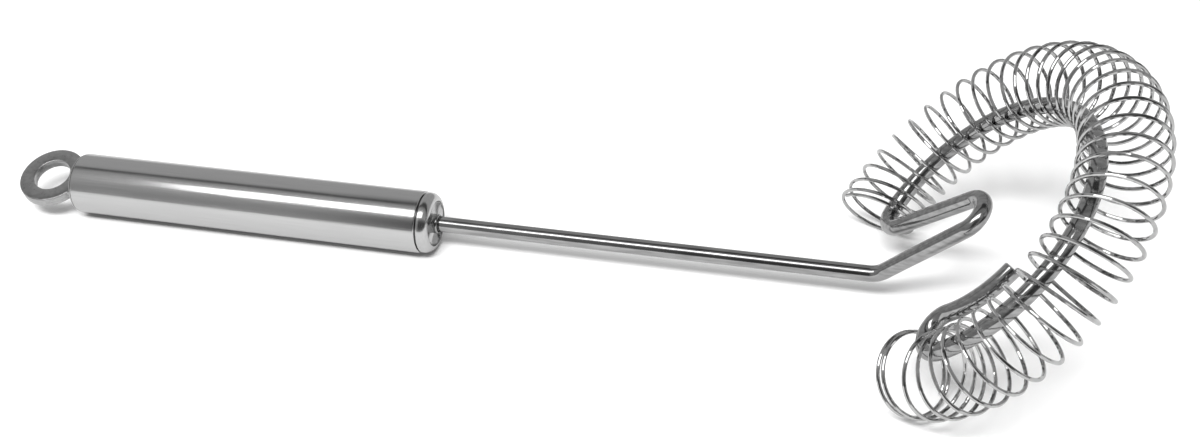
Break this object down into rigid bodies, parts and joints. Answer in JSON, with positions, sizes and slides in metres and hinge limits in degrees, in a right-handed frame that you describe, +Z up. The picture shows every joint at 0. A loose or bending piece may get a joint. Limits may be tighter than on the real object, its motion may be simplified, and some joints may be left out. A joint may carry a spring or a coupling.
{
  "type": "coil whisk",
  "caption": "All-steel sauce whisk: a spring coil threaded on an open hoop of bent rod, with a round tubular handle and a flat hanging ring.",
  "frame": {"origin": "centre of the bounding box's base, on the table the whisk lies on", "axes": "+X along the handle from the hanging ring to the whisking head, +Y across the table to the left seen from the ring, +Z up; the whisk rests on the handle and on both ends of the coil"},
  "size_m": [0.3252, 0.1102, 0.0743],
  "materials": {
    "handle_tube": "polished stainless steel tube",
    "front_cap": "polished stainless steel pressing",
    "rear_cap": "polished stainless steel pressing",
    "neck_collar": "satin stainless steel",
    "hang_ring": "satin stainless steel plate",
    "whisk_rod": "polished stainless steel rod",
    "whisk_coil": "bright drawn stainless steel wire"
  },
  "bodies": {
    "whisk": {"handle_tube": "handle_tube", "front_cap": "front_cap", "rear_cap": "rear_cap", "hang_ring": "hang_ring", "neck_collar": "neck_collar", "whisk_rod": "whisk_rod"},
    "coil": {"whisk_coil": "whisk_coil"}
  },
  "joints": [
    {"name": "coil_slide", "type": "hinge", "parent": "whisk", "child": "coil", "pos_m": [0.11908, -0.0013, 0.03121], "axis": [0.7039, 0.1022, -0.7029], "range_deg": [-1.5, 1.5]}
  ]
}
